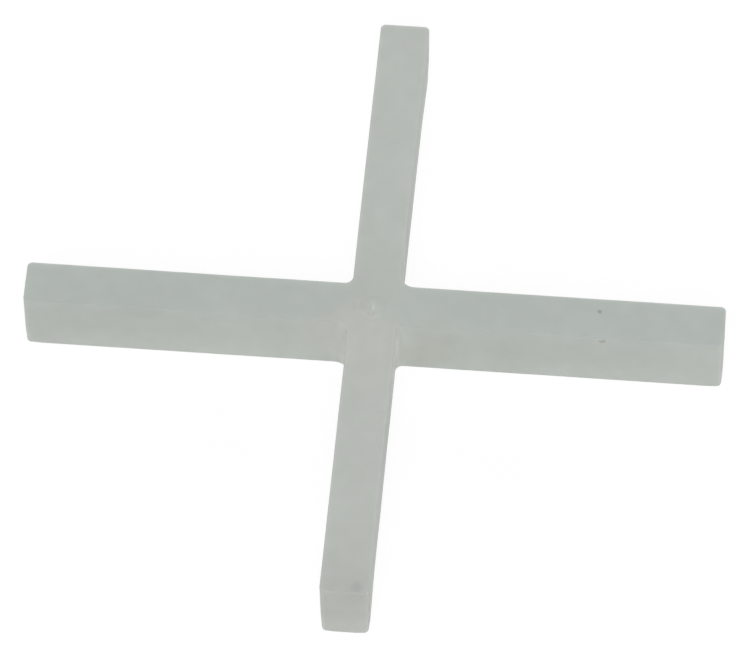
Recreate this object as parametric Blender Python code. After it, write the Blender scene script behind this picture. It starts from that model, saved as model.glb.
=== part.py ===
"""Cross-shaped tile spacer, moulded in one piece from natural polyethylene.

Four equal legs meet at right angles. Where four tiles meet, each leg stands in one joint and
the tiles' edges bear on its side walls. The top face lay on the mould's parting plane, so it is
the widest level of the piece: the plastic came in at its centre, and from there every wall
narrows down to the underside by the draft that lets the moulding leave its cavity.

Units are metres and +Z is up. The origin is the centre of the underside, and the legs lie
along X and Y.
"""

import math

import bmesh
import bpy

MM = 0.001

# Main sizes. Span and width are measured at half the thickness, where the draft crosses zero.
SPAN = 30.0 * MM
JOINT_WIDTH = 2.0 * MM
THICKNESS = 3.1 * MM
DRAFT_ANGLE = math.radians(0.8)

# Corners seen from above: the fillets between the legs and the rounded corners of the tips.
ROOT_FILLET_RADIUS = 0.3 * MM
TIP_CORNER_RADIUS = 0.25 * MM

# Edges seen from the side. The parting plane leaves the top edge crisper than the cavity floor.
TOP_EDGE_RADIUS = 0.04 * MM
UNDERSIDE_EDGE_RADIUS = 0.07 * MM

# Gate: a shallow dish that keeps the torn stub of the runner below the top face.
GATE_DISH_DIAMETER = 1.15 * MM
GATE_DISH_DEPTH = 0.16 * MM
GATE_STUB_DIAMETER = 0.42 * MM
GATE_STUB_TIP_DIAMETER = 0.26 * MM
GATE_STUB_BELOW_FACE = 0.04 * MM

# Mark of the pin that pushes the moulding out of its cavity.
EJECTOR_MARK_DIAMETER = 1.4 * MM
EJECTOR_MARK_DEPTH = 0.05 * MM

# Facets of each round stretch.
ROOT_FILLET_STEPS = 8
TIP_CORNER_STEPS = 6
EDGE_STEPS = 4
GATE_DISH_STEPS = 5
TURNED_STEPS = 36

# A cutter stands clear of the face it cuts. Points nearer than the merge distance are one.
CUTTER_CLEARANCE = 0.1 * MM
MERGE_DISTANCE = 1e-7

SMOOTH_BELOW_ANGLE = math.radians(35)
LEVEL_NORMAL_Z = math.cos(math.radians(0.5))

# Natural polyethylene: a light, faintly greenish grey, satin from the mould's surface.
PLASTIC_COLOR = (0.456, 0.479, 0.456, 1.0)
PLASTIC_ROUGHNESS = 0.5
PLASTIC_METALLIC = 0.0


def clear_scene():
    for existing in list(bpy.data.objects):
        bpy.data.objects.remove(existing, do_unlink=True)


def plastic_material():
    material = bpy.data.materials.new("natural_polyethylene")
    material.use_nodes = True
    shader = material.node_tree.nodes["Principled BSDF"]
    shader.inputs["Base Color"].default_value = PLASTIC_COLOR
    shader.inputs["Roughness"].default_value = PLASTIC_ROUGHNESS
    shader.inputs["Metallic"].default_value = PLASTIC_METALLIC
    return material


def arc(center, radius, start_degrees, end_degrees, steps):
    """Points along a circular arc, both ends included."""
    points = []
    for step in range(steps + 1):
        angle = math.radians(start_degrees + (end_degrees - start_degrees) * step / steps)
        points.append((center[0] + radius * math.cos(angle), center[1] + radius * math.sin(angle)))
    return points


def plan_outline(inset):
    """The cross seen from above, drawn in by inset all round, anticlockwise.

    Every inset gives the same number of points in the same order, so two outlines at different
    heights can be joined point to point. Drawing in tightens the tips' corners, at most to a
    sharp corner, and opens the fillets between the legs, so each round keeps its own center.
    """
    half_width = JOINT_WIDTH / 2 - inset
    reach = SPAN / 2 - inset
    tip_radius = min(max(TIP_CORNER_RADIUS - inset, 0), half_width)
    root_radius = ROOT_FILLET_RADIUS + inset

    tip_x = reach - tip_radius
    tip_y = half_width - tip_radius
    root = half_width + root_radius
    leg = arc((tip_x, -tip_y), tip_radius, -90, 0, TIP_CORNER_STEPS)
    leg += arc((tip_x, tip_y), tip_radius, 0, 90, TIP_CORNER_STEPS)
    leg += arc((root, root), root_radius, 270, 180, ROOT_FILLET_STEPS)

    outline = []
    for _ in range(4):
        outline += leg
        leg = [(-y, x) for x, y in leg]
    return outline


def wall_outset(height):
    """How far the drafted wall stands outside its place at half the thickness."""
    return (height - THICKNESS / 2) * math.tan(DRAFT_ANGLE)


def edge_rounding(center_height, radius, start_degrees, end_degrees):
    """(outset, height) points of an edge's round, tangent to the drafted wall."""
    center = (wall_outset(center_height) - radius / math.cos(DRAFT_ANGLE), center_height)
    return arc(center, radius, start_degrees, end_degrees, EDGE_STEPS)


def wall_section():
    """(outset, height) of the wall from the underside's flat to the top face's flat."""
    wall_direction = -math.degrees(DRAFT_ANGLE)
    underside = edge_rounding(UNDERSIDE_EDGE_RADIUS, UNDERSIDE_EDGE_RADIUS, -90, wall_direction)
    top = edge_rounding(THICKNESS - TOP_EDGE_RADIUS, TOP_EDGE_RADIUS, wall_direction, 90)
    return underside + top


def shaded_mesh(bm, name):
    """A closed mesh facing outward, smooth over its rounds and flat on its level faces.

    The level faces are shaded flat so that the rounds beside them don't bend their light.
    """
    bmesh.ops.remove_doubles(bm, verts=bm.verts, dist=MERGE_DISTANCE)
    bmesh.ops.recalc_face_normals(bm, faces=bm.faces)
    mesh = bpy.data.meshes.new(name)
    bm.to_mesh(mesh)
    bm.free()

    mesh.set_sharp_from_angle(angle=SMOOTH_BELOW_ANGLE)
    for face in mesh.polygons:
        face.use_smooth = abs(face.normal.z) < LEVEL_NORMAL_Z
    return mesh


def moulding_mesh():
    """One closed skin: an outline at each level of the wall section, joined ring to ring."""
    bm = bmesh.new()
    rings = []
    for outset, height in wall_section():
        rings.append([bm.verts.new((x, y, height)) for x, y in plan_outline(-outset)])
    for lower, upper in zip(rings, rings[1:]):
        for here in range(len(lower)):
            ahead = (here + 1) % len(lower)
            bm.faces.new((lower[here], lower[ahead], upper[ahead], upper[here]))
    bm.faces.new(reversed(rings[0]))
    bm.faces.new(rings[-1])
    return shaded_mesh(bm, "tile_spacer")


def turned_mesh(name, profile):
    """A solid of revolution about Z, from (radius, height) points that end on the axis."""
    bm = bmesh.new()
    points = [bm.verts.new((radius, 0, height)) for radius, height in profile]
    edges = [bm.edges.new(pair) for pair in zip(points, points[1:])]
    bmesh.ops.spin(
        bm,
        geom=points + edges,
        cent=(0, 0, 0),
        axis=(0, 0, 1),
        angle=math.tau,
        steps=TURNED_STEPS,
        use_merge=True,
    )
    return shaded_mesh(bm, name)


def gate_profile():
    """The space round the gate's stub: a spherical dish with the tapered stub left standing."""
    rim_radius = GATE_DISH_DIAMETER / 2
    sphere_radius = (rim_radius**2 + GATE_DISH_DEPTH**2) / (2 * GATE_DISH_DEPTH)
    sphere_height = THICKNESS - GATE_DISH_DEPTH + sphere_radius

    def dish_angle(radius):
        return math.degrees(math.asin(radius / sphere_radius)) - 90

    lid_height = THICKNESS + CUTTER_CLEARANCE
    lid_radius = math.sqrt(sphere_radius**2 - (sphere_height - lid_height) ** 2)
    stub_top = THICKNESS - GATE_STUB_BELOW_FACE

    profile = [(0, stub_top), (GATE_STUB_TIP_DIAMETER / 2, stub_top)]
    profile += arc(
        (0, sphere_height),
        sphere_radius,
        dish_angle(GATE_STUB_DIAMETER / 2),
        dish_angle(lid_radius),
        GATE_DISH_STEPS,
    )
    return profile + [(0, lid_height)]


def ejector_profile():
    """A flat disc sunk into the underside, standing clear below it."""
    radius = EJECTOR_MARK_DIAMETER / 2
    return [
        (0, -CUTTER_CLEARANCE),
        (radius, -CUTTER_CLEARANCE),
        (radius, EJECTOR_MARK_DEPTH),
        (0, EJECTOR_MARK_DEPTH),
    ]


def add_object(name, mesh):
    added = bpy.data.objects.new(name, mesh)
    bpy.context.scene.collection.objects.link(added)
    return added


def cut(target, name, profile):
    """Takes a turned shape out of the target. The cutter stays in the file, out of the render."""
    cutter = add_object(name + "_cutter", turned_mesh(name, profile))
    cutter.display_type = "WIRE"
    cutter.hide_render = True
    modifier = target.modifiers.new(name, "BOOLEAN")
    modifier.operation = "DIFFERENCE"
    modifier.object = cutter


def main():
    clear_scene()
    mesh = moulding_mesh()
    mesh.materials.append(plastic_material())
    spacer = add_object("tile_spacer", mesh)
    cut(spacer, "gate_dish", gate_profile())
    cut(spacer, "ejector_mark", ejector_profile())


main()
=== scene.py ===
# %% [markdown]
# # A moulded tile spacer
#
# A tile spacer is a small cross that a tiler stands where four tiles meet. Each leg fills one
# joint, so all the joints come out equally wide. It is injection moulded in one piece from
# natural polyethylene, the milky plastic that has had no colour added.
#
# The CAD model is loaded first. It fixes the place and the size of everything below.

import math

import bpy
from mathutils import Matrix, Vector


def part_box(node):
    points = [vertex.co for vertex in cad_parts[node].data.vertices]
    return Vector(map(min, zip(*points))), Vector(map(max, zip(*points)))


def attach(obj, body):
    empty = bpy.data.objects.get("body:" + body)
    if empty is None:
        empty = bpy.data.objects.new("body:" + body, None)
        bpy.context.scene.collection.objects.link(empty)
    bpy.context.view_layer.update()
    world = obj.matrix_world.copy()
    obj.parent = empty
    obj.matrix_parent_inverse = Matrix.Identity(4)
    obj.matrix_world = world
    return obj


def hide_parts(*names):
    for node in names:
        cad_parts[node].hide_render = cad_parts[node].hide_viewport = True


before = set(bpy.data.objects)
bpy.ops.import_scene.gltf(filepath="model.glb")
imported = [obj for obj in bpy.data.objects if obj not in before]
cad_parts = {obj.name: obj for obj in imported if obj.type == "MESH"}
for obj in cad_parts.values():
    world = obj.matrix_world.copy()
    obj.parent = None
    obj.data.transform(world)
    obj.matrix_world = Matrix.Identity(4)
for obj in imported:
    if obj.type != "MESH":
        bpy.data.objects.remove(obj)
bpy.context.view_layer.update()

MM = 0.001
NODE = "tile_spacer"
cad_low, cad_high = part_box(NODE)
cad_size = (cad_high - cad_low) / MM
print("CAD box in mm:", [round(side, 3) for side in cad_size])

# %% [markdown]
# ## The camera
#
# The photograph was taken from in front and above, with a long lens from about half a metre
# away, so the legs hardly get smaller towards the rear. The camera is set up the way a
# photographer would describe it: how far it stands round to the right, how high it looks down
# from, how much it is tipped over, and how far away it is. The scene wants a place and three axes
# instead, which follow from these numbers. The lens comes from how large a millimetre shows.

# %% Direction of the camera
CAMERA_AZIMUTH = math.radians(5.683)
CAMERA_ELEVATION = math.radians(54.158)
CAMERA_ROLL = math.radians(-0.892)

back = Vector((
    math.sin(CAMERA_AZIMUTH) * math.cos(CAMERA_ELEVATION),
    -math.cos(CAMERA_AZIMUTH) * math.cos(CAMERA_ELEVATION),
    math.sin(CAMERA_ELEVATION),
))
level_right = Vector((math.cos(CAMERA_AZIMUTH), math.sin(CAMERA_AZIMUTH), 0))
level_up = back.cross(level_right)
right = level_right * math.cos(CAMERA_ROLL) + level_up * math.sin(CAMERA_ROLL)
up = level_up * math.cos(CAMERA_ROLL) - level_right * math.sin(CAMERA_ROLL)
print("the camera stands towards", [round(share, 3) for share in back])

# %% Camera
IMAGE_WIDTH = 750
SENSOR_WIDTH = 36.0
CAMERA_DISTANCE = 521.8 * MM
PIXELS_PER_MM = 23.306
AIM_RIGHT = 0.0115 * MM
AIM_UP = -0.1488 * MM
NEAREST_SEEN = 0.01
FURTHEST_SEEN = 10

middle = (cad_low + cad_high) / 2
camera_data = bpy.data.cameras.new("camera")
camera_data.sensor_width = SENSOR_WIDTH
camera_data.lens = PIXELS_PER_MM * CAMERA_DISTANCE / MM / IMAGE_WIDTH * SENSOR_WIDTH
camera_data.clip_start = NEAREST_SEEN
camera_data.clip_end = FURTHEST_SEEN
camera = bpy.data.objects.new("camera", camera_data)
camera.matrix_world = Matrix.Translation(
    middle + back * CAMERA_DISTANCE + right * AIM_RIGHT + up * AIM_UP
) @ Matrix((right, up, back)).transposed().to_4x4()
bpy.context.scene.collection.objects.link(camera)
bpy.context.scene.camera = camera
bpy.context.scene.view_settings.view_transform = "Standard"
print("a lens of", round(camera_data.lens), "mm")

# %% [markdown]
# ## Two helpers
#
# Every node in this file, in the shape and in the materials alike, is added by one function. It
# takes what goes into the node's sockets, which is a plain value or another node's output, either
# in the order of the sockets or by their names. Last come the node's own settings. It gives back
# the node's output, or the first one where there are several, and .node leads from an output to
# its node and so to the others.
#
# The other helper turns a colour as it is written for a screen into the linear light that the
# renderer mixes.

# %% Helpers
def add_node(tree, kind, inputs=(), **settings):
    node = tree.nodes.new(kind)
    for name, value in settings.items():
        setattr(node, name, value)
    for key, value in inputs.items() if isinstance(inputs, dict) else enumerate(inputs):
        if isinstance(key, str):
            socket = next(s for s in node.inputs if s.enabled and s.name == key)
        else:
            socket = node.inputs[key]
        if isinstance(value, bpy.types.NodeSocket):
            tree.links.new(value, socket)
        else:
            socket.default_value = value
    return next((output for output in node.outputs if output.enabled), None)


def linear(hex_colour):
    channels = [int(hex_colour[i:i + 2], 16) / 255 for i in (0, 2, 4)]
    lights = [c / 12.92 if c <= 0.04045 else ((c + 0.055) / 1.055) ** 2.4 for c in channels]
    return tuple(lights) + (1.0,)


print("B4B8B4 is", [round(c, 3) for c in linear("B4B8B4")], "in linear light")

# %% [markdown]
# ## The recipe for the shape
#
# The whole moulding follows rules, so Geometry Nodes can make it from its sizes: a cross drawn
# once as twelve corners, rounded, and swept with the section of its wall. The tree works in
# millimetres, because a tool maker's drawing does, and turns them into metres at the very end.
#
# The span is measured at half the thickness. The CAD model's box is a little larger, because the
# draft makes the top face the widest level.

# %% Sizes of the moulding
WIDER_AT_TOP = 0.04
SIZES_MM = {
    "Span": cad_size.y - WIDER_AT_TOP,
    "Root Width": 2.01,
    "Tip Width": 2.032,
    "Thickness": cad_size.z,
    "Rear Right Fillet": 0.62,
    "Rear Left Fillet": 0.39,
    "Front Left Fillet": 0.66,
    "Front Right Fillet": 0.28,
    "Tip Corner Radius": 0.2,
    "Low Corner Ease": 0.035,
    "Top Edge Radius": 0.04,
    "Underside Edge Radius": 0.07,
    "Level Strip Width": 0.12,
    "Point Spacing": 0.5,
    "Rear Leg Lean": 0.035,
    "Tip Swelling": 0.045,
    "Gate Across": -0.03,
    "Gate Along": -0.18,
    "Gate Dish Radius": 0.6,
    "Gate Dish Depth": 0.06,
    "Stub Foot Radius": 0.3,
    "Stub Tip Radius": 0.12,
    "Stub Below Face": 0.015,
    "Tear Depth": 0.03,
    "Ejector Mark Radius": 0.7,
    "Ejector Mark Depth": 0.05,
    "Wall Waver": 0.02,
}
COUNTS = {"Corner Steps": 8, "Edge Steps": 6, "Turned Steps": 48, "Turned Rings": 24}
DRAFT_ANGLE = math.radians(0.8)
SHAPE_SEED = 7.0
print(len(SIZES_MM), "sizes in mm and", len(COUNTS), "counts")

# %% [markdown]
# Each size becomes a named input of the tree, so that it can be changed later from the modifier.
# The rest of the recipe also keeps asking for a point's number and for its place, which is needed
# whole and split into X, Y and Z.

# %% Inputs of the shape
shape = bpy.data.node_groups.new("moulded_spacer", "GeometryNodeTree")
new_socket = shape.interface.new_socket
for name in SIZES_MM:
    new_socket(name, in_out="INPUT", socket_type="NodeSocketFloat")
for name in COUNTS:
    new_socket(name, in_out="INPUT", socket_type="NodeSocketInt")
new_socket("Draft Angle", in_out="INPUT", socket_type="NodeSocketFloat")
new_socket("Seed", in_out="INPUT", socket_type="NodeSocketFloat")
new_socket("Material", in_out="INPUT", socket_type="NodeSocketMaterial")
new_socket("Geometry", in_out="OUTPUT", socket_type="NodeSocketGeometry")
given = add_node(shape, "NodeGroupInput").node.outputs
index = add_node(shape, "GeometryNodeInputIndex")
position = add_node(shape, "GeometryNodeInputPosition")
parts = add_node(shape, "ShaderNodeSeparateXYZ", [position]).node.outputs
print("the shape has", len(shape.interface.items_tree) - 1, "inputs")

# %% [markdown]
# ### The outline
#
# Seen from above, each leg has two corners at its tip, and shares one corner with the next leg.
# That makes three kinds of corner, four times over. A point's number says which leg it belongs
# to and which kind it is, and the point is then turned round by a quarter for each leg.

# %% Twelve corners
MATH = "ShaderNodeMath"
WHOLE_MATH = "FunctionNodeIntegerMath"
JOIN_XYZ = "ShaderNodeCombineXYZ"
LEGS = 4
KINDS_OF_CORNER = 3
leg = add_node(shape, WHOLE_MATH, [index, KINDS_OF_CORNER], operation="DIVIDE_FLOOR")
kind_of_corner = add_node(shape, WHOLE_MATH, [index, KINDS_OF_CORNER], operation="MODULO")
reach, tip_side, root_side = (
    add_node(shape, MATH, [given[name], 0.5], operation="MULTIPLY")
    for name in ("Span", "Tip Width", "Root Width")
)
other_tip_side = add_node(shape, MATH, [tip_side, -1.0], operation="MULTIPLY")
corner_places = add_node(shape, "GeometryNodeIndexSwitch", {
    "Index": kind_of_corner,
}, data_type="VECTOR").node
corner_places.index_switch_items.new()
for kind, sides in enumerate([(reach, other_tip_side), (reach, tip_side), (root_side, root_side)]):
    place = add_node(shape, JOIN_XYZ, sides)
    shape.links.new(place, corner_places.inputs[1 + kind])
quarter_turns = add_node(shape, MATH, [leg, math.tau / LEGS], operation="MULTIPLY")
turned = add_node(shape, "ShaderNodeVectorRotate", {
    "Vector": corner_places.outputs[0],
    "Angle": quarter_turns,
}, rotation_type="Z_AXIS")
corners = add_node(shape, "GeometryNodePoints", {
    "Count": LEGS * KINDS_OF_CORNER,
    "Position": turned,
})
print("twelve corners placed with", len(shape.nodes), "nodes")

# %% [markdown]
# A cutter that mills the mould can't leave a sharp inside corner, so the corners between the
# legs are fillets, and the tips' corners are rounded too. Fillet Curve makes both. The mould was
# finished by hand, and no two of its four fillets came out alike.

# %% Rounded outline
ROOT_CORNER = 2
root_fillet = add_node(shape, "GeometryNodeIndexSwitch", {"Index": leg}, data_type="FLOAT").node
for _ in range(2):
    root_fillet.index_switch_items.new()
for number, side in enumerate(["Rear Right", "Rear Left", "Front Left", "Front Right"]):
    shape.links.new(given[side + " Fillet"], root_fillet.inputs[1 + number])
is_root = add_node(shape, "FunctionNodeCompare", {
    "A": kind_of_corner,
    "B": ROOT_CORNER,
}, data_type="INT", operation="EQUAL")
corner_radius = add_node(shape, "GeometryNodeSwitch", {
    "Switch": is_root,
    "False": given["Tip Corner Radius"],
    "True": root_fillet.outputs[0],
}, input_type="FLOAT")
drawn = add_node(shape, "GeometryNodePointsToCurves", {"Points": corners})
closed = add_node(shape, "GeometryNodeSetSplineCyclic", {"Geometry": drawn, "Cyclic": True})
rounded = add_node(shape, "GeometryNodeFilletCurve", {
    "Curve": closed,
    "Count": given["Corner Steps"],
    "Radius": corner_radius,
}, mode="POLY")
print("outline rounded with", len(shape.nodes), "nodes so far")

# %% [markdown]
# The rounded outline gets extra points along its straight sides, each side as many as its length
# asks for. The same rule serves the wall's section later, because a field works on any curve
# that it is plugged into.

# %% Points along the sides
VECTOR_MATH = "ShaderNodeVectorMath"
next_point = add_node(shape, "GeometryNodeOffsetPointInCurve", {"Point Index": index, "Offset": 1})
next_place = add_node(shape, "GeometryNodeFieldAtIndex", {
    "Value": position,
    "Index": next_point.node.outputs["Point Index"],
}, data_type="FLOAT_VECTOR")
gap = add_node(shape, VECTOR_MATH, [position, next_place], operation="DISTANCE")
spacings = add_node(shape, MATH, [gap, given["Point Spacing"]], operation="DIVIDE")
cuts = add_node(shape, MATH, [spacings], operation="FLOOR")
divided = add_node(shape, "GeometryNodeSubdivideCurve", {"Curve": rounded, "Cuts": cuts})
print("sides divided with", len(shape.nodes), "nodes so far")

# %% [markdown]
# Plastic shrinks as it cools, and never quite evenly. This spacer's rear leg has bent a little
# to the right, by some hundredths of a millimetre at the tip, and the front and rear tips have
# stayed as much fuller on their right side. Both are a shift of the outline along X, which grows
# towards the tip.

# %% Bent leg and full tips
FADE = "ShaderNodeMapRange"
FULLER_FROM = 3.5
FULLEST_FROM = 0.5
to_rear = add_node(shape, FADE, {"Value": parts["Y"], "From Min": 0.0, "From Max": reach})
bend = add_node(shape, MATH, [to_rear, 2.0], operation="POWER")
lean = add_node(shape, MATH, [bend, given["Rear Leg Lean"]], operation="MULTIPLY")
near_tip = add_node(shape, FADE, {
    "Value": add_node(shape, MATH, [parts["Y"]], operation="ABSOLUTE"),
    "From Min": add_node(shape, MATH, [reach, FULLER_FROM], operation="SUBTRACT"),
    "From Max": add_node(shape, MATH, [reach, FULLEST_FROM], operation="SUBTRACT"),
}, interpolation_type="SMOOTHSTEP")
on_right = add_node(shape, MATH, [parts["X"], 0.0], operation="GREATER_THAN")
right_of_tip = add_node(shape, MATH, [near_tip, on_right], operation="MULTIPLY")
swelling = add_node(shape, MATH, [right_of_tip, given["Tip Swelling"]], operation="MULTIPLY")
shift_along_x = add_node(shape, MATH, [lean, swelling], operation="ADD")
outline = add_node(shape, "GeometryNodeSetPosition", {
    "Geometry": divided,
    "Offset": add_node(shape, JOIN_XYZ, {"X": shift_along_x}),
})
print("outline bent with", len(shape.nodes), "nodes so far")

# %% [markdown]
# ### The wall
#
# The wall leans by the draft, less than a degree, so that the moulding comes out of its cavity:
# the top face is the widest level. Its two long edges are rounded, the top one crisper, because
# the mould opens there. This section is a line of four points with its two inner corners
# rounded. Curve to Mesh sweeps it round the outline. A narrow level strip is part of it at both
# ends, so that the light runs off the edges as softly as it does on a real one.
#
# On a path that lies flat, Curve to Mesh lets the section's X point out of the path and its Y
# point down, so the heights are given as negative numbers.

# %% Points of the section
SECTION_POINTS = 4
half_thickness = add_node(shape, MATH, [given["Thickness"], 0.5], operation="MULTIPLY")
slope = add_node(shape, MATH, [given["Draft Angle"]], operation="TANGENT")
outset_at_top = add_node(shape, MATH, [half_thickness, slope], operation="MULTIPLY")
outset_at_table, strip_end, top_height = (
    add_node(shape, MATH, [size, -1.0], operation="MULTIPLY")
    for size in (outset_at_top, given["Level Strip Width"], given["Thickness"])
)
section_places = add_node(shape, "GeometryNodeIndexSwitch", {
    "Index": index,
}, data_type="VECTOR").node
for _ in range(2):
    section_places.index_switch_items.new()
for number, outset_and_height in enumerate([
    (strip_end, top_height),
    (outset_at_top, top_height),
    (outset_at_table, 0.0),
    (strip_end, 0.0),
]):
    place = add_node(shape, JOIN_XYZ, outset_and_height)
    shape.links.new(place, section_places.inputs[1 + number])
section_points = add_node(shape, "GeometryNodePoints", {
    "Count": SECTION_POINTS,
    "Position": section_places.outputs[0],
})
print("section placed with", len(shape.nodes), "nodes so far")

# %% Section of the wall
UPPER_POINTS = 2
is_upper = add_node(shape, "FunctionNodeCompare", {
    "A": index,
    "B": UPPER_POINTS,
}, data_type="INT", operation="LESS_THAN")
edge_radius = add_node(shape, "GeometryNodeSwitch", {
    "Switch": is_upper,
    "False": given["Underside Edge Radius"],
    "True": given["Top Edge Radius"],
}, input_type="FLOAT")
section_line = add_node(shape, "GeometryNodePointsToCurves", {"Points": section_points})
section_rounded = add_node(shape, "GeometryNodeFilletCurve", {
    "Curve": section_line,
    "Count": given["Edge Steps"],
    "Radius": edge_radius,
}, mode="POLY")
section = add_node(shape, "GeometryNodeSubdivideCurve", {"Curve": section_rounded, "Cuts": cuts})
print("section rounded with", len(shape.nodes), "nodes so far")

# %% Wall
upright = add_node(shape, "GeometryNodeSetCurveNormal", {"Curve": outline}, mode="Z_UP")
wall = add_node(shape, "GeometryNodeCurveToMesh", {"Curve": upright, "Profile Curve": section})
print("wall swept with", len(shape.nodes), "nodes so far")

# %% [markdown]
# ### The gate and the ejector mark
#
# Two round marks tell how the piece was made. In the middle of the top face is the gate, where
# the plastic came in: a shallow dish, with the stub of the runner torn off inside it. It lies a
# little in front of the true centre. On the hidden underside is the print of the pin that pushed
# the piece out.
#
# Both start as the same flat disc, a line swept round a circle. The height of each point then
# follows from how far it is from the centre.

# %% Flat disc
SAME_POINT = 1e-4
rim = add_node(shape, "GeometryNodeCurvePrimitiveCircle", {
    "Resolution": given["Turned Steps"],
    "Radius": 1.0,
})
spoke = add_node(shape, "GeometryNodeMeshLine", {
    "Count": given["Turned Rings"],
    "Start Location": (-1, 0, 0),
    "Offset": (0, 0, 0),
}, mode="END_POINTS")
spoke_line = add_node(shape, "GeometryNodeMeshToCurve", {"Mesh": spoke})
rim_upright = add_node(shape, "GeometryNodeSetCurveNormal", {"Curve": rim}, mode="Z_UP")
spun = add_node(shape, "GeometryNodeCurveToMesh", {
    "Curve": rim_upright,
    "Profile Curve": spoke_line,
})
disc = add_node(shape, "GeometryNodeMergeByDistance", {"Geometry": spun, "Distance": SAME_POINT})
flat_position = add_node(shape, JOIN_XYZ, {"X": parts["X"], "Y": parts["Y"]})
from_centre = add_node(shape, VECTOR_MATH, [flat_position], operation="LENGTH")
print("disc spun with", len(shape.nodes), "nodes so far")

# %% [markdown]
# The dish gets deeper towards its centre, and is deepest on the left, where the runner pulled as
# it was bent over and torn off. The stub rises out of it with a soft foot, longer than it is
# wide, and stops just below the face so that it can't hold a tile away. Its torn end is ragged,
# which is noise with a fixed seed.

# %% Dish of the gate
DEEPER_ON_LEFT = 0.4
dish_radius = given["Gate Dish Radius"]
share_right = add_node(shape, MATH, [parts["X"], dish_radius], operation="DIVIDE")
shallower = add_node(shape, MATH, [share_right, DEEPER_ON_LEFT], operation="MULTIPLY")
depth_share = add_node(shape, MATH, [1.0, shallower], operation="SUBTRACT")
side_depth = add_node(shape, MATH, [given["Gate Dish Depth"], depth_share], operation="MULTIPLY")
share_out = add_node(shape, MATH, [from_centre, dish_radius], operation="DIVIDE")
share_out_squared = add_node(shape, MATH, [share_out, 2.0], operation="POWER")
towards_centre = add_node(shape, MATH, [1.0, share_out_squared], operation="SUBTRACT")
dish = add_node(shape, MATH, [side_depth, towards_centre], operation="MULTIPLY")
print("dish measured with", len(shape.nodes), "nodes so far")

# %% Torn stub
NOISE = "ShaderNodeTexNoise"
STUB_NARROWNESS = 1.8
TEARS_PER_MM = 9.0
narrowed = add_node(shape, VECTOR_MATH, [
    flat_position,
    (STUB_NARROWNESS, 1, 1),
], operation="MULTIPLY")
stub = add_node(shape, FADE, {
    "Value": add_node(shape, VECTOR_MATH, [narrowed], operation="LENGTH"),
    "From Min": given["Stub Foot Radius"],
    "From Max": given["Stub Tip Radius"],
}, interpolation_type="SMOOTHSTEP")
tear_noise = add_node(shape, NOISE, {
    "Vector": position,
    "W": given["Seed"],
    "Scale": TEARS_PER_MM,
    "Detail": 2.0,
}, noise_dimensions="4D")
centred_tear = add_node(shape, MATH, [tear_noise, 0.5], operation="SUBTRACT")
tear = add_node(shape, MATH, [centred_tear, given["Tear Depth"]], operation="MULTIPLY")
stub_depth = add_node(shape, MATH, [given["Stub Below Face"], tear], operation="ADD")
print("stub measured with", len(shape.nodes), "nodes so far")

# %% Gate
beside_stub = add_node(shape, MATH, [1.0, stub], operation="SUBTRACT")
depth_in_dish = add_node(shape, MATH, [dish, beside_stub], operation="MULTIPLY")
depth_on_stub = add_node(shape, MATH, [stub_depth, stub], operation="MULTIPLY")
gate_depth = add_node(shape, MATH, [depth_in_dish, depth_on_stub], operation="ADD")
gate_height = add_node(shape, MATH, [given["Thickness"], gate_depth], operation="SUBTRACT")
gate_disc = add_node(shape, "GeometryNodeTransform", {
    "Geometry": disc,
    "Scale": add_node(shape, JOIN_XYZ, {"X": dish_radius, "Y": dish_radius, "Z": 1.0}),
})
dished = add_node(shape, "GeometryNodeSetPosition", {
    "Geometry": gate_disc,
    "Offset": add_node(shape, JOIN_XYZ, {"Z": gate_height}),
})
gate = add_node(shape, "GeometryNodeTransform", {
    "Geometry": dished,
    "Translation": add_node(shape, JOIN_XYZ, {
        "X": given["Gate Across"],
        "Y": given["Gate Along"],
    }),
})
print("gate made with", len(shape.nodes), "nodes so far")

# %% [markdown]
# The pin leaves a flat step. Every point of the disc is lifted by the same depth into the
# underside, except those on its rim, and the ring between them becomes the step's wall.

# %% Ejector mark
INSIDE_THE_RIM = 0.99
mark_radius = given["Ejector Mark Radius"]
mark_disc = add_node(shape, "GeometryNodeTransform", {
    "Geometry": disc,
    "Scale": add_node(shape, JOIN_XYZ, {"X": mark_radius, "Y": mark_radius, "Z": 1.0}),
})
step_radius = add_node(shape, MATH, [mark_radius, INSIDE_THE_RIM], operation="MULTIPLY")
inside = add_node(shape, MATH, [from_centre, step_radius], operation="LESS_THAN")
mark_rise = add_node(shape, MATH, [inside, given["Ejector Mark Depth"]], operation="MULTIPLY")
mark_sunk = add_node(shape, "GeometryNodeSetPosition", {
    "Geometry": mark_disc,
    "Offset": add_node(shape, JOIN_XYZ, {"Z": mark_rise}),
})
mark = add_node(shape, "GeometryNodeFlipFaces", {"Mesh": mark_sunk})
print("ejector mark made with", len(shape.nodes), "nodes so far")

# %% [markdown]
# ### The level faces
#
# The wall's sweep leaves an open edge above and one below. Together with the rim of a disc, each
# is the border of one level face, which Fill Curve closes. An edge is open if it has only one
# face beside it.

# %% Level faces
faces_beside = add_node(shape, "GeometryNodeInputMeshEdgeNeighbors")
open_edge = add_node(shape, MATH, [faces_beside, 1.0, 0.5], operation="COMPARE")
is_high = add_node(shape, MATH, [parts["Z"], half_thickness], operation="GREATER_THAN")
is_low = add_node(shape, MATH, [parts["Z"], half_thickness], operation="LESS_THAN")
upper_edge = add_node(shape, MATH, [open_edge, is_high], operation="MULTIPLY")
lower_edge = add_node(shape, MATH, [open_edge, is_low], operation="MULTIPLY")


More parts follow.
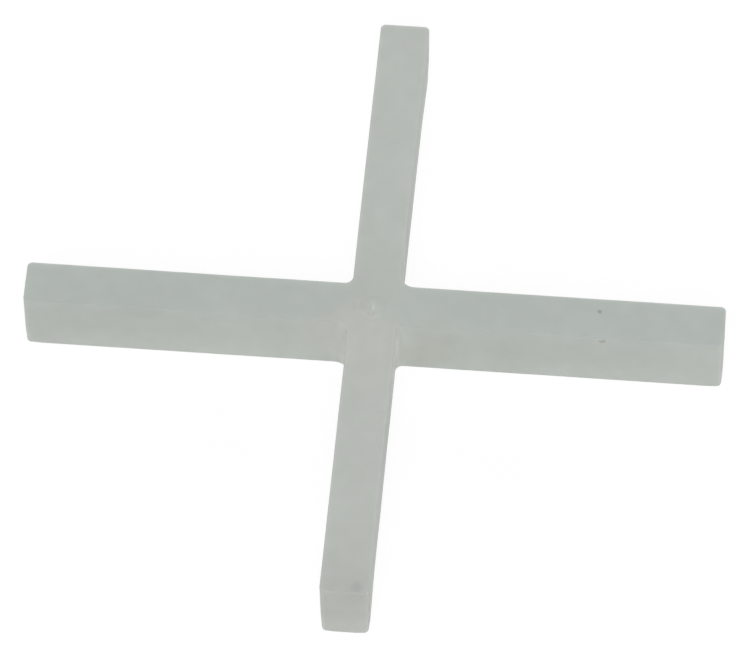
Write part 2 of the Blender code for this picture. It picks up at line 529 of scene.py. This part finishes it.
def level_face(edge, patch_disc):
    border = add_node(shape, "GeometryNodeMeshToCurve", {"Mesh": wall, "Selection": edge})
    hole = add_node(shape, "GeometryNodeMeshToCurve", {"Mesh": patch_disc, "Selection": open_edge})
    borders = add_node(shape, "GeometryNodeJoinGeometry")
    for line in (border, hole):
        shape.links.new(line, borders.node.inputs[0])
    return add_node(shape, "GeometryNodeFillCurve", {"Curve": borders})


top_face = add_node(shape, "GeometryNodeTransform", {
    "Geometry": level_face(upper_edge, gate),
    "Translation": add_node(shape, JOIN_XYZ, {"Z": given["Thickness"]}),
})
underside = add_node(shape, "GeometryNodeFlipFaces", {"Mesh": level_face(lower_edge, mark_disc)})
print("level faces filled with", len(shape.nodes), "nodes so far")

# %% [markdown]
# ### Joining up
#
# The level faces are shaded flat, and everything round is shaded smooth. The pieces meet
# exactly, so merging points that lie on each other makes one closed skin.

# %% One skin
SEAM = 5e-4
skin = add_node(shape, "GeometryNodeJoinGeometry")
for surfaces, is_smooth in (((top_face, underside), False), ((wall, gate, mark), True)):
    together = add_node(shape, "GeometryNodeJoinGeometry")
    for surface in surfaces:
        shape.links.new(surface, together.node.inputs[0])
    shaded = add_node(shape, "GeometryNodeSetShadeSmooth", {
        "Geometry": together,
        "Shade Smooth": is_smooth,
    })
    shape.links.new(shaded, skin.node.inputs[0])
merged = add_node(shape, "GeometryNodeMergeByDistance", {"Geometry": skin, "Distance": SEAM})
print("one skin after", len(shape.nodes), "nodes")

# %% [markdown]
# The plastic doesn't quite fill the deep corners of the mould. So the lowest part of each tip's
# corners is drawn in a little. How near a point is to such a corner comes from three distances,
# to the tip, to the leg's side and to the underside, and the same measure is found for all four
# legs by taking X and Y as positive numbers.

# %% Low corners
EASED_ALONG = 0.5
EASED_ACROSS = 0.5
EASED_UP = 1.2
reach_out = add_node(shape, MATH, [parts["X"]], operation="ABSOLUTE")
reach_over = add_node(shape, MATH, [parts["Y"]], operation="ABSOLUTE")
furthest = add_node(shape, MATH, [reach_out, reach_over], operation="MAXIMUM")
nearest = add_node(shape, MATH, [reach_out, reach_over], operation="MINIMUM")
from_tip = add_node(shape, MATH, [reach, furthest], operation="SUBTRACT")
from_side = add_node(shape, MATH, [tip_side, nearest], operation="SUBTRACT")
near_corner = 1.0
for distance, fades_after in (
    (from_tip, EASED_ALONG),
    (from_side, EASED_ACROSS),
    (parts["Z"], EASED_UP),
):
    near = add_node(shape, FADE, {
        "Value": distance,
        "From Min": fades_after,
        "From Max": 0.0,
    }, interpolation_type="SMOOTHSTEP")
    near_corner = add_node(shape, MATH, [near_corner, near], operation="MULTIPLY")
inward = []
for axis in "XY":
    own_side = add_node(shape, MATH, [parts[axis]], operation="SIGN")
    inward.append(add_node(shape, MATH, [own_side, -1.0], operation="MULTIPLY"))
eased_by = add_node(shape, VECTOR_MATH, {
    "Vector": add_node(shape, JOIN_XYZ, inward),
    "Scale": add_node(shape, MATH, [near_corner, given["Low Corner Ease"]], operation="MULTIPLY"),
}, operation="SCALE")
eased = add_node(shape, "GeometryNodeSetPosition", {"Geometry": merged, "Offset": eased_by})
print("low corners eased after", len(shape.nodes), "nodes")

# %% [markdown]
# A moulding's walls are never dead straight, and a slow wave of a few hundredths of a millimetre
# takes the machine-made stiffness out of them. Last come the step from millimetres to metres,
# Realize Instances and Set Material, with which every tree here ends.

# %% Slow wave, and the end of the tree
WAVES_PER_MM = 0.3
wave = add_node(shape, NOISE, {
    "Vector": flat_position,
    "W": given["Seed"],
    "Scale": WAVES_PER_MM,
    "Detail": 1.0,
}, noise_dimensions="4D").node.outputs["Color"]
centred_wave = add_node(shape, VECTOR_MATH, [wave, (0.5, 0.5, 0.5)], operation="SUBTRACT")
level_wave = add_node(shape, VECTOR_MATH, [centred_wave, (1, 1, 0)], operation="MULTIPLY")
wave_shift = add_node(shape, VECTOR_MATH, {
    "Vector": level_wave,
    "Scale": given["Wall Waver"],
}, operation="SCALE")
waved = add_node(shape, "GeometryNodeSetPosition", {"Geometry": eased, "Offset": wave_shift})
metres = add_node(shape, "GeometryNodeTransform", {"Geometry": waved, "Scale": (MM, MM, MM)})
real = add_node(shape, "GeometryNodeRealizeInstances", {"Geometry": metres})
finished = add_node(shape, "GeometryNodeSetMaterial", {
    "Geometry": real,
    "Material": given["Material"],
})
add_node(shape, "NodeGroupOutput", {"Geometry": finished})
print("the whole recipe has", len(shape.nodes), "nodes")

# %% [markdown]
# ## The plastic
#
# Natural polyethylene is milky: light goes a fraction of a millimetre into it and comes out
# elsewhere, which softens edges and small dents. That is subsurface scattering, mixed in at a
# fifth here. The surface is a dull satin, because it copies the steel of the mould, which was
# blasted and not polished.
#
# All patterns are laid out in millimetres on the piece. Object coordinates are metres, so they
# are multiplied by a thousand first.

# %% Natural polyethylene
POLYETHYLENE_IOR = 1.51
MILKINESS = 0.2
SCATTER_DEPTH = 0.6 * MM
plastic = bpy.data.materials.new("natural_polyethylene_moulded")
plastic.use_nodes = True
milk = plastic.node_tree
shader = milk.nodes["Principled BSDF"]
shader.inputs["IOR"].default_value = POLYETHYLENE_IOR
shader.inputs["Subsurface Weight"].default_value = MILKINESS
shader.inputs["Subsurface Radius"].default_value = (1.0, 1.0, 1.0)
shader.inputs["Subsurface Scale"].default_value = SCATTER_DEPTH

coordinates = add_node(milk, "ShaderNodeTexCoord").node.outputs
in_mm = add_node(milk, VECTOR_MATH, {
    "Vector": coordinates["Object"],
    "Scale": 1 / MM,
}, operation="SCALE")
along = add_node(milk, "ShaderNodeSeparateXYZ", [in_mm]).node.outputs
print("light goes", round(SCATTER_DEPTH / MM, 2), "mm into the plastic")

# %% [markdown]
# ### Its colour
#
# The grey is a little greenish. The skin near the top face isn't the same all over: on two legs it
# is painted a shade lighter than on the other two, as painted light for the side light that comes
# through them. A point belongs to the lighter pair if it lies further out along Y than along X.
# The walls are between the two. They are painted lighter towards the table, for the light that it
# throws back into them, and towards the crossing, for the light that comes through the milky
# plastic from the other side. Deep in the corner between two walls, where shade falls, the most
# light is painted in.
#
# Each of these is a fade between two places. The table gives what is measured, in millimetres,
# where the fade starts and ends, and its values there.

# %% Fades
out_x = add_node(milk, MATH, [along["X"]], operation="ABSOLUTE")
out_y = add_node(milk, MATH, [along["Y"]], operation="ABSOLUTE")
out = add_node(milk, MATH, [out_x, out_y], operation="MAXIMUM")
further_along_y = add_node(milk, MATH, [out_y, out_x], operation="SUBTRACT")
above_corner = add_node(milk, MATH, [along["Z"], out_y], operation="SUBTRACT")

fades = {}
for name, measure, start, end, start_value, end_value, course in (
    ("lighter pair", further_along_y, -1.5, 1.5, 0.0, 1.0, "SMOOTHSTEP"),
    ("near table", along["Z"], 0.0, 1.6, 1.0, 0.0, "SMOOTHSTEP"),
    ("away from crossing", out, 1.5, 6.0, 0.0, 1.0, "LINEAR"),
    ("near crossing", out, 1.0, 8.0, 1.0, 0.0, "LINEAR"),
    ("off the table", along["Z"], 0.0, 1.0, 0.3, 1.0, "LINEAR"),
    ("corner along X", out_x, 1.0, 2.0, 1.0, 0.0, "LINEAR"),
    ("corner along Y", out_y, 1.3, 4.0, 1.0, 0.0, "LINEAR"),
    ("deep in corner", above_corner, -0.1, 1.9, 1.0, 0.0, "LINEAR"),
    ("top skin", along["Z"], 2.95, 3.1, 0.0, 1.0, "LINEAR"),
):
    fades[name] = add_node(milk, FADE, {
        "Value": measure,
        "From Min": start,
        "From Max": end,
        "To Min": start_value,
        "To Max": end_value,
    }, interpolation_type=course)
print(len(fades), "fades")

# %% [markdown]
# Where two fades have to hold at once, they are multiplied. The colours are then laid over each
# other like thin coats, each as strongly as its share says.

# %% Colour
MIX = "ShaderNodeMix"
CROSSING_LIGHT_STEEPNESS = 3.0
MOST_CROSSING_LIGHT = 0.42
# Painted light from the table: the walls lighter towards it, away from the crossing.
painted_table_light = add_node(milk, MATH, [
    fades["near table"],
    fades["away from crossing"],
], operation="MULTIPLY")
# Painted light at the crossing, for light through the plastic from the other side; less of it near
# the table.
crossing_light_curve = add_node(milk, MATH, [fades["near crossing"], CROSSING_LIGHT_STEEPNESS], operation="POWER")
capped_crossing_light = add_node(milk, MATH, [crossing_light_curve, MOST_CROSSING_LIGHT], operation="MINIMUM")
painted_crossing_light = add_node(milk, MATH, [capped_crossing_light, fades["off the table"]], operation="MULTIPLY")
# Painted light deep in the corners between two walls, where shade falls.
in_corner = add_node(milk, MATH, [
    fades["corner along X"],
    fades["corner along Y"],
], operation="MULTIPLY")
painted_corner_light = add_node(milk, MATH, [in_corner, fades["deep in corner"]], operation="MULTIPLY")
# Painted light: the top skin of the legs along Y is lighter than that of the legs along X, for the
# side light that comes through them.
top_skin = add_node(milk, MIX, {
    "Factor": fades["lighter pair"],
    "A": linear("B0B6B1"),
    "B": linear("B7BBB6"),
}, data_type="RGBA")

# The walls' own grey, then the painted table, crossing and corner light, and the top skin over
# all.
colour = linear("B3B8B3")
for share, coat in (
    (painted_table_light, linear("BABEB9")),
    (painted_crossing_light, linear("C2C7C2")),
    (painted_corner_light, linear("D0D4CE")),
    (fades["top skin"], top_skin),
):
    colour = add_node(milk, MIX, {"Factor": share, "A": colour, "B": coat}, data_type="RGBA")
print("colour so far uses", len(milk.nodes), "nodes")

# %% [markdown]
# A cloudiness a few millimetres across runs through the whole piece, with a finer mottle in it.
# Both make the colour darker as often as lighter, so they leave the mean alone. They are noise,
# which mostly stays in the middle of its range, so that part is stretched to what is wanted.

# %% Clouds and mottle
PATTERN_SEED = 0.0
CLOUD_SIZE, CLOUDINESS = 4.0, 0.025
MOTTLE_SIZE, MOTTLING = 0.7, 0.02
NOISE_MOSTLY_FROM, NOISE_MOSTLY_TO = 0.3, 0.7


def unevenness(size_mm, detail, least, most):
    pattern = add_node(milk, NOISE, {
        "Vector": in_mm,
        "W": PATTERN_SEED,
        "Scale": 1 / size_mm,
        "Detail": detail,
    }, noise_dimensions="4D")
    return add_node(milk, FADE, {
        "Value": pattern,
        "From Min": NOISE_MOSTLY_FROM,
        "From Max": NOISE_MOSTLY_TO,
        "To Min": least,
        "To Max": most,
    })


clouds = unevenness(CLOUD_SIZE, 2.0, 1 - CLOUDINESS, 1 + CLOUDINESS)
mottle = unevenness(MOTTLE_SIZE, 1.0, 1 - MOTTLING, 1 + MOTTLING)
print("clouds of", CLOUD_SIZE, "mm and a mottle of", MOTTLE_SIZE, "mm")

# %% [markdown]
# A rounded edge lets light out on two sides and gives less of it back, which shows on the edges
# The edges that run along X, and the left ones of those that run along Y, get painted shade: a
# rounded edge would otherwise catch a line of light from the lamps. A point is on one if its
# normal points partly up or down and partly to the side. Half way round, the product of the two
# parts is a half, and its square a quarter.
# Clouds and mottle, which are the plastic's own, and the painted edge shade are multiplied into
# one shade. It is kept until the specks are in, so that it shades them too.

# %% Shade
HALF_WAY_ROUND = 0.25
PAINTED_EDGE_LEVEL = 0.87
faces = add_node(milk, "ShaderNodeSeparateXYZ", [coordinates["Normal"]]).node.outputs
up_and_along_y = add_node(milk, MATH, [faces["Z"], faces["Y"]], operation="MULTIPLY")
up_and_right = add_node(milk, MATH, [faces["Z"], faces["X"]], operation="MULTIPLY")
edge_along_x = add_node(milk, MATH, [up_and_along_y], operation="ABSOLUTE")
left_edge = add_node(milk, MATH, [up_and_right, -1.0], operation="MULTIPLY")
rounding = add_node(milk, MATH, [edge_along_x, left_edge], operation="MAXIMUM")
# Painted shade: up to 13 % darker on the rounded edges.
painted_edge_shade = add_node(milk, FADE, {
    "Value": add_node(milk, MATH, [rounding, 2.0], operation="POWER"),
    "From Min": 0.0,
    "From Max": HALF_WAY_ROUND,
    "To Min": 1.0,
    "To Max": PAINTED_EDGE_LEVEL,
})
cloudy = add_node(milk, MATH, [clouds, mottle], operation="MULTIPLY")
shade = add_node(milk, MATH, [cloudy, painted_edge_shade], operation="MULTIPLY")
print("with its shade it uses", len(milk.nodes), "nodes")

# %% [markdown]
# ### Specks, stains and painted light
#
# Burnt or foreign specks get into natural plastic easily, and show in it more than in any dark
# colour. This piece has two on its right leg, one on top and a longer one on the front wall,
# drawn as two dots that touch. A soft stain lies at the front tip's upper edge, and the tip is a
# little darker round it. Most of the rest is painted light and shade: a painted shadow of the
# front leg on the right leg's front wall, next to the crossing, painted light and shade in the
# corners by the crossing, painted shade towards the left tip, on the left side of the gate's dish
# and in front of its stub, and painted light in the dish with a painted highlight on the stub. The
# wide, weak tints along the left leg and on the top face make it a shade lighter, darker, warmer
# or cooler in places.
#
# Each mark is a place, a size along each axis, a colour and a strength. Places and sizes are in
# millimetres.

# %% List of the specks, stains and painted light
MARKS_AND_PAINTED_LIGHT = [
    # Dark specks on the right leg.
    ((9.64, 0.34, 3.1), (0.12, 0.12, 0.1), "8E958E", 0.9),
    ((9.81, -1.0, 2.84), (0.12, 0.1, 0.13), "8E918A", 0.7),
    ((9.93, -1.0, 2.9), (0.12, 0.1, 0.13), "8E918A", 0.7),
    # Stain at the front tip, and a darker grey over the tip's top edge and end wall round it.
    ((0.55, -14.74, 3.1), (0.3, 0.33, 0.4), "989999", 0.75),
    ((0.4, -14.6, 3.1), (1.0, 0.8, 0.6), "A6A8A4", 0.3),
    ((0.2, -15.0, 2.9), (2.4, 3.1, 2.2), "ABAEA8", 0.42),
    ((0.55, -15.02, 2.75), (0.75, 0.4, 0.45), "A0A29F", 0.35),
    ((0.0, -15.6, 1.5), (2.5, 1.2, 2.4), "ABA7A3", 0.35),
    # Painted shadow of the front leg on the right leg's front wall, a little brownish.
    ((2.3, -1.0, 1.35), (1.7, 0.6, 1.25), "A9ABA0", 0.35),
    ((2.5, -1.0, 2.5), (1.4, 0.6, 1.0), "ADACA6", 0.25),
    # Painted light and shade by the crossing: darker in the left corner and lighter beyond it,
    # painted light on the front leg's right wall, and painted shade on that leg's top edge.
    ((-1.45, -1.0, 2.0), (0.5, 0.5, 1.3), "B1ACA8", 0.24),
    ((-2.0, -1.0, 1.9), (1.6, 0.5, 1.5), "C0BEB9", 0.25),
    ((1.05, -1.5, 1.8), (0.12, 0.9, 1.4), "DADAD4", 0.6),
    ((0.92, -2.1, 3.1), (0.4, 1.4, 0.2), "ABACA8", 0.25),
    # Along the left leg: a lighter patch, painted shade towards the tip, and a darker band under
    # the top edge.
    ((-5.4, -1.0, 1.8), (1.9, 0.6, 2.4), "C4C9C4", 0.14),
    ((-14.6, -1.0, 1.5), (2.0, 0.6, 2.4), "A9ADA8", 0.28),
    ((-10.0, -1.0, 2.75), (1.9, 0.5, 0.5), "A9ADA8", 0.3),
    # Patches of the top face: darker just behind the crossing, warmer and lighter at it and in
    # front of the gate, and cooler and lighter along the rear leg.
    ((-0.7, 4.2, 3.1), (0.5, 0.9, 0.3), "A9ADA8", 0.3),
    ((0.0, 1.6, 3.1), (1.8, 2.2, 0.5), "ABB0AA", 0.25),
    ((-0.8, -0.6, 3.0), (1.2, 1.0, 0.8), "BDBAB3", 0.35),
    ((0.1, -2.3, 3.1), (1.2, 2.2, 0.8), "B9B7B0", 0.25),
    ((0.3, 9.0, 3.1), (1.4, 6.5, 1.0), "BCC4BF", 0.15),
    # Painted light in the gate's dish, painted shade on its left side and in front of the stub,
    # and a painted highlight on the stub.
    ((0.02, -0.16, 3.1), (0.42, 0.38, 0.2), "C6CAC4", 0.2),
    ((-0.85, -0.22, 3.1), (0.11, 0.26, 0.2), "A3A29B", 0.15),
    ((-0.45, -0.23, 3.1), (0.25, 0.22, 0.2), "A3A29B", 0.25),
    ((-0.07, -0.5, 3.1), (0.26, 0.16, 0.2), "A0A39C", 0.35),
    ((-0.07, -0.18, 3.1), (0.14, 0.42, 0.2), "C6CAC4", 0.4),
]
print(len(MARKS_AND_PAINTED_LIGHT), "specks and stains")

# %% [markdown]
# A mark's colour is mixed in fully near its place and fades out around it. The distance is
# measured in shares of the mark's own size, so one fade serves them all. Noise in the distance,
# coarser on a larger mark, makes the border uneven.

# %% Specks, stains and painted light
FULL_WITHIN = 0.3
GONE_BEYOND = 1.2
BORDER_WAVE = 1.2
BORDER_UNEVENNESS = 0.25
for place, size, tint, strength in MARKS_AND_PAINTED_LIGHT:
    offset = add_node(milk, VECTOR_MATH, [in_mm, place], operation="SUBTRACT")
    scaled = add_node(milk, VECTOR_MATH, [offset, size], operation="DIVIDE")
    distance = add_node(milk, VECTOR_MATH, [scaled], operation="LENGTH")
    ragged = unevenness(BORDER_WAVE * size[0], 2.0, -BORDER_UNEVENNESS, BORDER_UNEVENNESS)
    share = add_node(milk, FADE, {
        "Value": add_node(milk, MATH, [distance, ragged], operation="ADD"),
        "From Min": FULL_WITHIN,
        "From Max": GONE_BEYOND,
        "To Min": strength,
        "To Max": 0.0,
    }, interpolation_type="SMOOTHSTEP")
    colour = add_node(milk, MIX, {
        "Factor": share,
        "A": colour,
        "B": linear(tint),
    }, data_type="RGBA")
# Clouds, mottle and the painted edge shade go over all of the colour, marks included.
colour = add_node(milk, VECTOR_MATH, {"Vector": colour, "Scale": shade}, operation="SCALE")
milk.links.new(colour, shader.inputs["Base Color"])
print("the whole colour uses", len(milk.nodes), "nodes")

# %% [markdown]
# ### Its surface
#
# The gloss wanders a little where the mould was blasted more or less. The grain that the blasting
# leaves, some 0.03 mm, is too fine to show, so it is drawn at 0.1 mm, and under it lies a soft
# orange-peel of about a millimetre. Both only tilt the light: they are too shallow to model.

# %% Surface
GLOSS_SIZE, SMOOTHEST, ROUGHEST = 1.5, 0.6, 0.7
RELIEFS = {
    "grain": (0.1, 2.0, 0.25, 0.004),
    "orange-peel": (1.1, 1.0, 0.3, 0.02),
}
milk.links.new(unevenness(GLOSS_SIZE, 2.0, SMOOTHEST, ROUGHEST), shader.inputs["Roughness"])
tilted = None
for size_mm, detail, strength, depth_mm in RELIEFS.values():
    relief = add_node(milk, NOISE, {
        "Vector": in_mm,
        "W": PATTERN_SEED,
        "Scale": 1 / size_mm,
        "Detail": detail,
    }, noise_dimensions="4D")
    bump = {"Strength": strength, "Distance": depth_mm * MM, "Height": relief}
    if tilted:
        bump["Normal"] = tilted
    tilted = add_node(milk, "ShaderNodeBump", bump)
milk.links.new(tilted, shader.inputs["Normal"])
print("the plastic has", len(milk.nodes), "nodes")

# %% [markdown]
# ## Making the moulding
#
# The recipe runs as a modifier on an empty mesh. Its inputs are set by the sockets' identifiers,
# because two inputs could share a name. The result is copied into a plain mesh, and the recipe's
# holder is thrown away.

# %% Make the moulding
mesh_holder = bpy.data.objects.new("moulding_recipe", bpy.data.meshes.new("empty"))
bpy.context.scene.collection.objects.link(mesh_holder)
modifier = mesh_holder.modifiers.new("shape", "NODES")
modifier.node_group = shape
values = {
    **SIZES_MM,
    **COUNTS,
    "Draft Angle": DRAFT_ANGLE,
    "Seed": SHAPE_SEED,
    "Material": plastic,
}
for item in shape.interface.items_tree:
    if item.in_out == "INPUT":
        modifier[item.identifier] = values[item.name]

evaluated = mesh_holder.evaluated_get(bpy.context.evaluated_depsgraph_get())
moulding = bpy.data.objects.new("moulded_spacer", bpy.data.meshes.new_from_object(evaluated))
moulding.data.name = "moulded_spacer"
moulding.data.materials.pop(index=0)
bpy.context.scene.collection.objects.link(moulding)
mesh_holder.modifiers.remove(modifier)
bpy.data.objects.remove(mesh_holder)
print("moulding:", len(moulding.data.vertices), "points,", len(moulding.data.polygons), "faces")

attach(moulding, "root")
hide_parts(NODE)

# %% [markdown]
# ## Floor and light
#
# The photograph shows the spacer on plain white. The floor here is white to the camera, and
# mixes in a little of its real light, so that the spacer keeps a faint shadow. What a shiny
# surface mirrors, or what is seen through a clear one, is white too, so the rays that are seen
# are those of the camera, the mirrored ones and the ones that pass through.

# %% White table
LIT_SHARE = 0.12
WHITE = linear("FFFFFF")
WHITE_STRENGTH = 1.04


def is_seen(tree):
    path = add_node(tree, "ShaderNodeLightPath").node.outputs
    seen = path["Is Camera Ray"]
    for ray in ("Is Glossy Ray", "Is Transmission Ray"):
        seen = add_node(tree, MATH, [seen, path[ray]], operation="MAXIMUM")
    return seen


floor_material = bpy.data.materials.new("white_table")
floor_material.use_nodes = True
table = floor_material.node_tree
table.nodes.remove(table.nodes["Principled BSDF"])
seen_white = add_node(table, MATH, [is_seen(table), 1 - LIT_SHARE], operation="MULTIPLY")
paper = add_node(table, "ShaderNodeBsdfDiffuse", {"Color": linear("F2F2F2")})
white = add_node(table, "ShaderNodeEmission", {"Color": WHITE, "Strength": WHITE_STRENGTH})
mixed_floor = add_node(table, "ShaderNodeMixShader", [seen_white, paper, white])
table.links.new(mixed_floor, table.nodes["Material Output"].inputs["Surface"])
print("the table has", len(table.nodes), "nodes")

# %% Floor
FLOOR_HALF = 1.5
FLOOR_DROP = 0.01 * MM
floor_mesh = bpy.data.meshes.new("floor")
floor_mesh.from_pydata(
    [
        (x * FLOOR_HALF, y * FLOOR_HALF, cad_low.z - FLOOR_DROP)
        for x, y in ((-1, -1), (1, -1), (1, 1), (-1, 1))
    ],
    [],
    [(0, 1, 2, 3)],
)
floor_mesh.materials.append(floor_material)
floor = bpy.data.objects.new("floor", floor_mesh)
bpy.context.scene.collection.objects.link(floor)
print("floor", 2 * FLOOR_HALF, "m wide")

# %% [markdown]
# Four square lamps stand round the spacer at arm's length, and a weak, even light comes from all
# sides. Together they are just bright enough for a colour to come out about as it is written. The
# front lamp is half way up, so that it lights the top face and the front walls alike. The others
# are low, each for the walls on its side. The surroundings are white where they are seen, as the
# floor is.

# %% Surroundings
AMBIENT = 0.235
world = bpy.data.worlds.new("studio")
bpy.context.scene.world = world
world.use_nodes = True
studio = world.node_tree
background = studio.nodes["Background"]
background.inputs["Color"].default_value = WHITE
brightness = add_node(studio, FADE, {
    "Value": is_seen(studio),
    "To Min": AMBIENT,
    "To Max": 1.0,
})
studio.links.new(brightness, background.inputs["Strength"])
print("an ambient light of", AMBIENT)

# %% Lamps
LAMP_DISTANCE = 0.6
LAMP_SIDE = 0.35
LAMPS = {
    "front": (0, 45, 2.37),
    "left": (-90, 15, 0.95),
    "right": (90, 15, 0.93),
    "rear": (180, 15, 2.11),
}
for name, (azimuth_degrees, elevation_degrees, watts) in LAMPS.items():
    azimuth, elevation = math.radians(azimuth_degrees), math.radians(elevation_degrees)
    lamp_data = bpy.data.lights.new(name, "AREA")
    lamp_data.shape = "SQUARE"
    lamp_data.size = LAMP_SIDE
    lamp_data.energy = watts
    lamp = bpy.data.objects.new(name, lamp_data)
    lamp.location = LAMP_DISTANCE * Vector((
        math.sin(azimuth) * math.cos(elevation),
        -math.cos(azimuth) * math.cos(elevation),
        math.sin(elevation),
    ))
    lamp.rotation_euler = lamp.location.to_track_quat("Z", "Y").to_euler()
    lamp.visible_camera = False
    bpy.context.scene.collection.objects.link(lamp)
print(len(LAMPS), "lamps")
